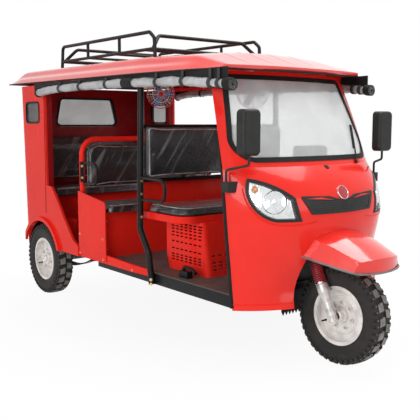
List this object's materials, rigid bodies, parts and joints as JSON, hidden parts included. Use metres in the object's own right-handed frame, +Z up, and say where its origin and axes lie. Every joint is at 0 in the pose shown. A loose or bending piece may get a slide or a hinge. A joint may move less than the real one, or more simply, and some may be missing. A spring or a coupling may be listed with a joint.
{
  "type": "auto rickshaw",
  "caption": "Open-sided passenger auto rickshaw with a tall windscreen, long roof with a rack, rolled side sheets, bench seats and a closed rear cab",
  "frame": {"origin": "on the ground under the middle of the vehicle's overall length and width", "axes": "+Y points to the rear of the vehicle, +X to its left side, +Z up; the front wheel is at -Y"},
  "size_m": [1.3726, 3.3261, 1.9545],
  "materials": {
    "red_paint": "gloss enamel",
    "black_steel": "satin enamel",
    "fork_steel": "silver enamel",
    "silver_rim": "silver enamel",
    "cast_iron": "plain",
    "floor_mat": "matt",
    "black_rubber": "matt",
    "tyre_rubber": "matt",
    "black_plastic": "matt",
    "red_gloss_plastic": "gloss",
    "blue_plastic": "gloss",
    "lamp_lens": "clear lens",
    "red_lens": "clear red",
    "hazy_glass": "hazy",
    "black_vinyl": "gloss vinyl",
    "silver_sheet": "coated sheet",
    "white_wire": "gloss enamel"
  },
  "bodies": {
    "chassis": {"front_cowl": "red_paint", "rear_body": "red_paint", "roof": "red_paint", "front_fender": "red_paint", "sills": "red_paint", "door_pillars": "black_steel", "driver_back_frame": "black_steel", "driver_seat_base": "red_paint", "middle_seat_base": "red_paint", "middle_back_frame": "red_paint", "rear_seat_base": "red_paint", "roof_frame": "red_paint", "chassis_frame": "black_steel", "floor": "floor_mat", "front_bulkhead": "black_plastic", "instruments": "black_plastic", "grille": "black_plastic", "headlights": "black_plastic", "headlight_lenses": "lamp_lens", "grille_inserts": "red_gloss_plastic", "mud_flap": "black_rubber", "windscreen": "hazy_glass", "window_seals": "black_rubber", "cabin_windows": "hazy_glass", "mirrors": "black_plastic", "wiper": "black_plastic", "roof_edge": "black_rubber", "driver_cushion": "black_vinyl", "driver_backrest": "black_vinyl", "middle_cushion": "black_vinyl", "middle_backrest": "black_vinyl", "rear_cushion": "black_vinyl", "rear_backrest": "black_vinyl", "engine_cover": "red_paint", "engine": "cast_iron", "brake_lever": "black_steel", "roof_rack": "black_steel", "side_curtains": "silver_sheet", "tail_lamps": "red_lens", "rear_axle": "cast_iron", "leaf_springs": "black_steel", "fan_guards": "white_wire"},
    "steering": {"steering_column": "black_steel", "handlebar": "black_steel", "fork_legs": "fork_steel"},
    "front_wheel": {"front_tyre": "tyre_rubber", "front_rim": "silver_rim"},
    "rear_wheel_right": {"rear_tyre_right": "tyre_rubber", "rear_rim_right": "silver_rim"},
    "rear_wheel_left": {"rear_tyre_left": "tyre_rubber", "rear_rim_left": "silver_rim"},
    "front_fan": {"front_fan_blades": "blue_plastic"},
    "rear_fan": {"rear_fan_blades": "blue_plastic"}
  },
  "joints": [
    {"name": "steering_turn", "type": "hinge", "parent": "chassis", "child": "steering", "pos_m": [0, -1.35654, 0.26685], "axis": [0, 0.4384, 0.8988], "range_deg": [-44.8, 35.2]},
    {"name": "front_wheel_spin", "type": "hinge", "parent": "steering", "child": "front_wheel", "pos_m": [0.00251, -1.38341, 0.27995], "axis": [0.9965, 0.0752, -0.0367], "continuous": true},
    {"name": "rear_wheel_right_spin", "type": "hinge", "parent": "chassis", "child": "rear_wheel_right", "pos_m": [-0.551, 1.2085, 0.28], "axis": [1, 0, 0], "continuous": true},
    {"name": "rear_wheel_left_spin", "type": "hinge", "parent": "chassis", "child": "rear_wheel_left", "pos_m": [0.551, 1.2085, 0.28], "axis": [1, 0, 0], "continuous": true},
    {"name": "front_fan_spin", "type": "hinge", "parent": "chassis", "child": "front_fan", "pos_m": [0.2, -0.3835, 1.56], "axis": [-0.5736, -0.8192, 0], "continuous": true},
    {"name": "rear_fan_spin", "type": "hinge", "parent": "chassis", "child": "rear_fan", "pos_m": [0, 0.4165, 1.572], "axis": [-0.5736, -0.8192, 0], "continuous": true}
  ]
}
